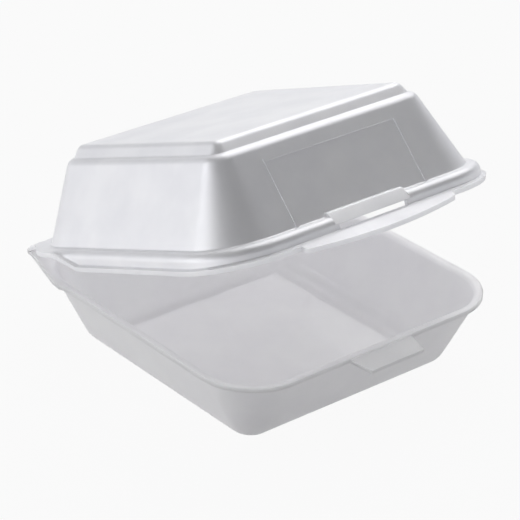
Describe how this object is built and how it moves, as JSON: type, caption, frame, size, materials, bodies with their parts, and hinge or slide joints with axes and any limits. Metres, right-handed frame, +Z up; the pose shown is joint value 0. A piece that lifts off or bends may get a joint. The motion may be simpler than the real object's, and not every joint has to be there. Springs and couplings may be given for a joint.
{
  "type": "foam clamshell food container",
  "caption": "Square takeaway food box moulded in one sheet of white foam, with a stepped lid on a crease hinge, a latch tongue and slit, and a thumb tab.",
  "frame": {"origin": "centre of the base's underside, on the surface it stands on", "axes": "+Z up; the crease hinge lies towards +Y along X; the latch tongue and thumb tab face -Y"},
  "size_m": [0.1594, 0.1719, 0.1256],
  "materials": {
    "foam": "satin white extruded polystyrene foam skin"
  },
  "bodies": {
    "base": {"base_tray": "foam"},
    "lid": {"lid": "foam"}
  },
  "joints": [
    {"name": "crease_hinge", "type": "hinge", "parent": "base", "child": "lid", "pos_m": [0, 0.085, 0.03505], "axis": [-1, 0, 0], "range_deg": [-21.5, 145]}
  ]
}
